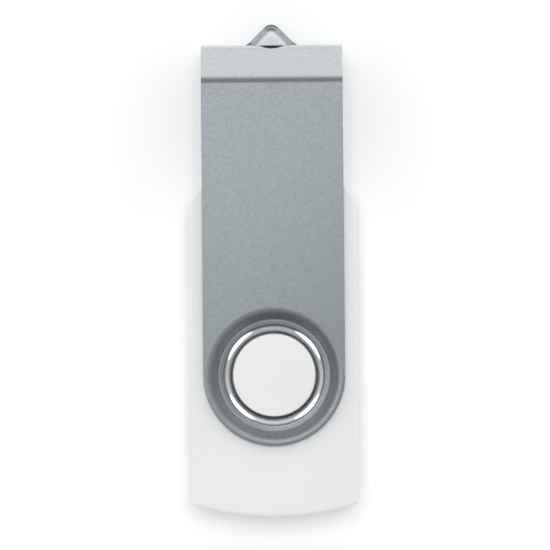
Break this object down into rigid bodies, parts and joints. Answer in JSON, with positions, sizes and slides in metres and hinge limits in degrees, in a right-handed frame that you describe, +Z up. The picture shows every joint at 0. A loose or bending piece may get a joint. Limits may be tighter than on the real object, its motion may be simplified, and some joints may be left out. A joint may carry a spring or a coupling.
{
  "type": "usb flash drive",
  "caption": "Flash drive whose folded steel cover swivels about round buttons on a flat two-shell case to cover or free the type A plug; a keyring loop is formed in the cover's end.",
  "frame": {"origin": "middle of the bounding box at its bottom: the drive lies flat on the lower leg of its cover, with the cover closed", "axes": "+Y along the drive from the curved rear end to the plug and the keyring loop, +Z up through the buttons that the cover turns on, +X to the right"},
  "size_m": [0.019, 0.0558, 0.011],
  "materials": {
    "plated_steel": "satin nickel plate",
    "case_plastic": "fine satin, moulded",
    "plug_steel": "bright nickel plate",
    "insulator_plastic": "moulded",
    "gold_plate": "gold flash",
    "board_laminate": "solder mask",
    "chip_resin": "moulded resin",
    "tin_plate": "tin plate",
    "solder": "reflowed",
    "ceramic": "fired ceramic",
    "capacitor_ceramic": "fired ceramic",
    "resistor_glaze": "glazed",
    "lens_resin": "clear resin"
  },
  "bodies": {
    "drive": {"upper_shell": "case_plastic", "lower_shell": "case_plastic", "plug_shell": "plug_steel", "plug_insulator": "insulator_plastic", "contact_power": "gold_plate", "contact_data_minus": "gold_plate", "contact_data_plus": "gold_plate", "contact_ground": "gold_plate", "circuit_board": "board_laminate", "memory_chip": "chip_resin", "memory_chip_leads": "tin_plate", "controller_chip": "chip_resin", "controller_chip_leads": "tin_plate", "regulator": "chip_resin", "regulator_leads": "tin_plate", "crystal_base": "ceramic", "crystal_lid": "plug_steel", "activity_led": "ceramic", "activity_led_lens": "lens_resin", "capacitors": "capacitor_ceramic", "capacitor_ends": "tin_plate", "resistors": "resistor_glaze", "resistor_ends": "tin_plate", "contact_solder": "solder", "leg_solder": "solder"},
    "cover": {"swivel_cover": "plated_steel"}
  },
  "joints": [
    {"name": "cover_swivel", "type": "hinge", "parent": "drive", "child": "cover", "pos_m": [0, -0.0119, 0.0055], "axis": [0, 0, 1], "continuous": true}
  ]
}
